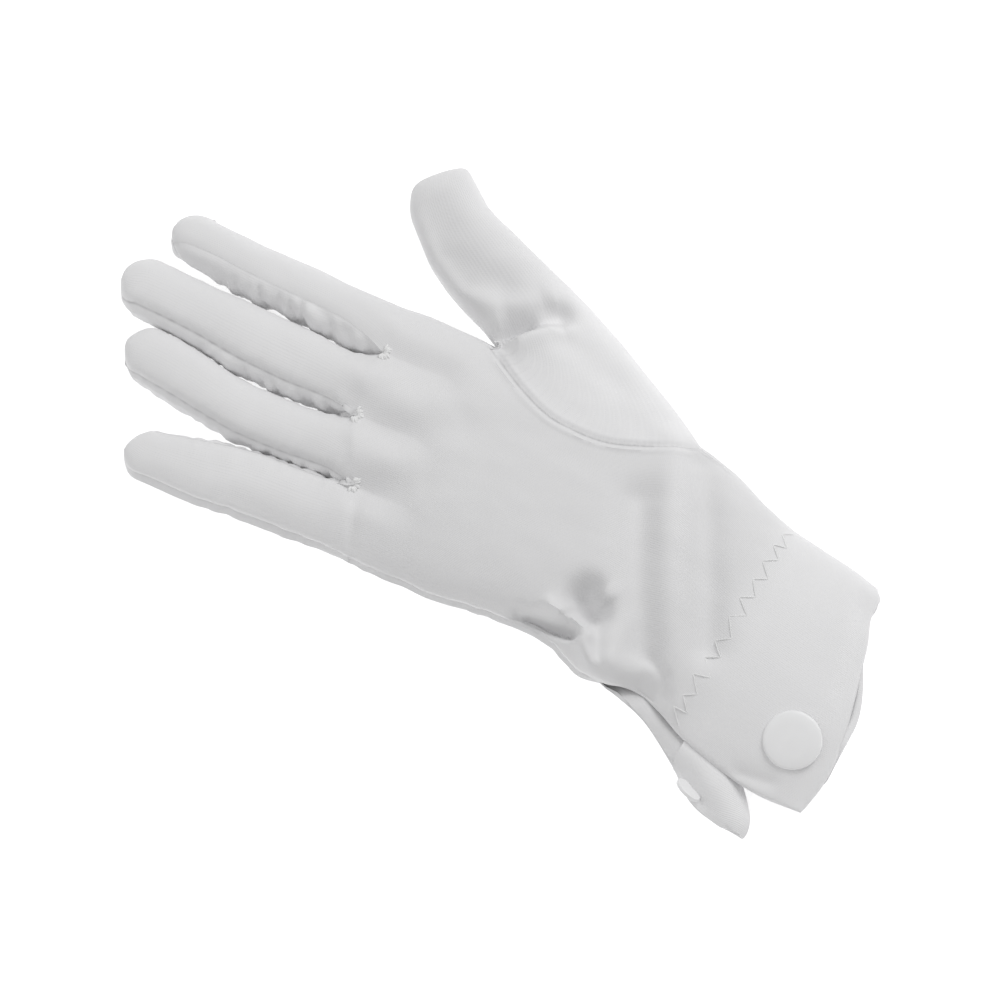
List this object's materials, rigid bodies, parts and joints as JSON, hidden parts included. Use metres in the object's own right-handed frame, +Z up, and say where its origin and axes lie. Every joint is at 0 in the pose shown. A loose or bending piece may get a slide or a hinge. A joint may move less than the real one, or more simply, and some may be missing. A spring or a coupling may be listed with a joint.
{
  "type": "white parade glove",
  "caption": "Thin white cloth dress glove for the right hand, lying palm up, with set-in thumb, fourchettes, vented cuff and snap.",
  "frame": {"origin": "on the resting face, under the middle of the palm", "axes": "+Y to the fingertips, +X to the thumb side, +Z up out of the palm"},
  "size_m": [0.1423, 0.2566, 0.0181],
  "materials": {
    "tricot": "fine matt knitted cloth",
    "facing": "doubled knitted cloth",
    "snap": "satin"
  },
  "bodies": {
    "root": {"palm_panel": "tricot", "back_panel": "tricot", "thumb_stall": "tricot", "fourchette_index_middle": "tricot", "fourchette_middle_ring": "tricot", "fourchette_ring_little": "tricot", "palm_facing": "facing", "back_facing": "facing", "snap_cap": "snap", "snap_socket": "snap", "snap_stud": "snap"}
  },
  "joints": []
}
